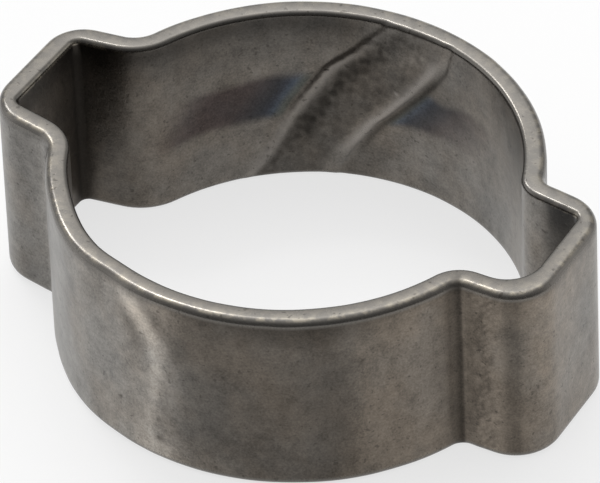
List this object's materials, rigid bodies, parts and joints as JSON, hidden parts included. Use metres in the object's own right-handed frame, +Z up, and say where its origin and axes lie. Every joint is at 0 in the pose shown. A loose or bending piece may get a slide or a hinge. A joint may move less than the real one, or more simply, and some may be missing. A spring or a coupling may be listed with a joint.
{
  "type": "ear hose clamp",
  "caption": "Low two-ear crimp clamp for a small hose: a plain round steel band with an ear bent out at each side and a slanted weld inside",
  "frame": {"origin": "the ring axis at the plane of the lower edge of the band", "axes": "+Z up along the ring axis, the way the hose runs; +X through the right ear, -X through the left ear; +Y towards the welded rear wall"},
  "size_m": [0.021, 0.0166, 0.0071],
  "materials": {
    "band_steel": "tumbled satin stainless steel, faintly warm, with fine dark pits and heat tint beside the weld"
  },
  "bodies": {
    "root": {"clamp_band": "band_steel"}
  },
  "joints": []
}
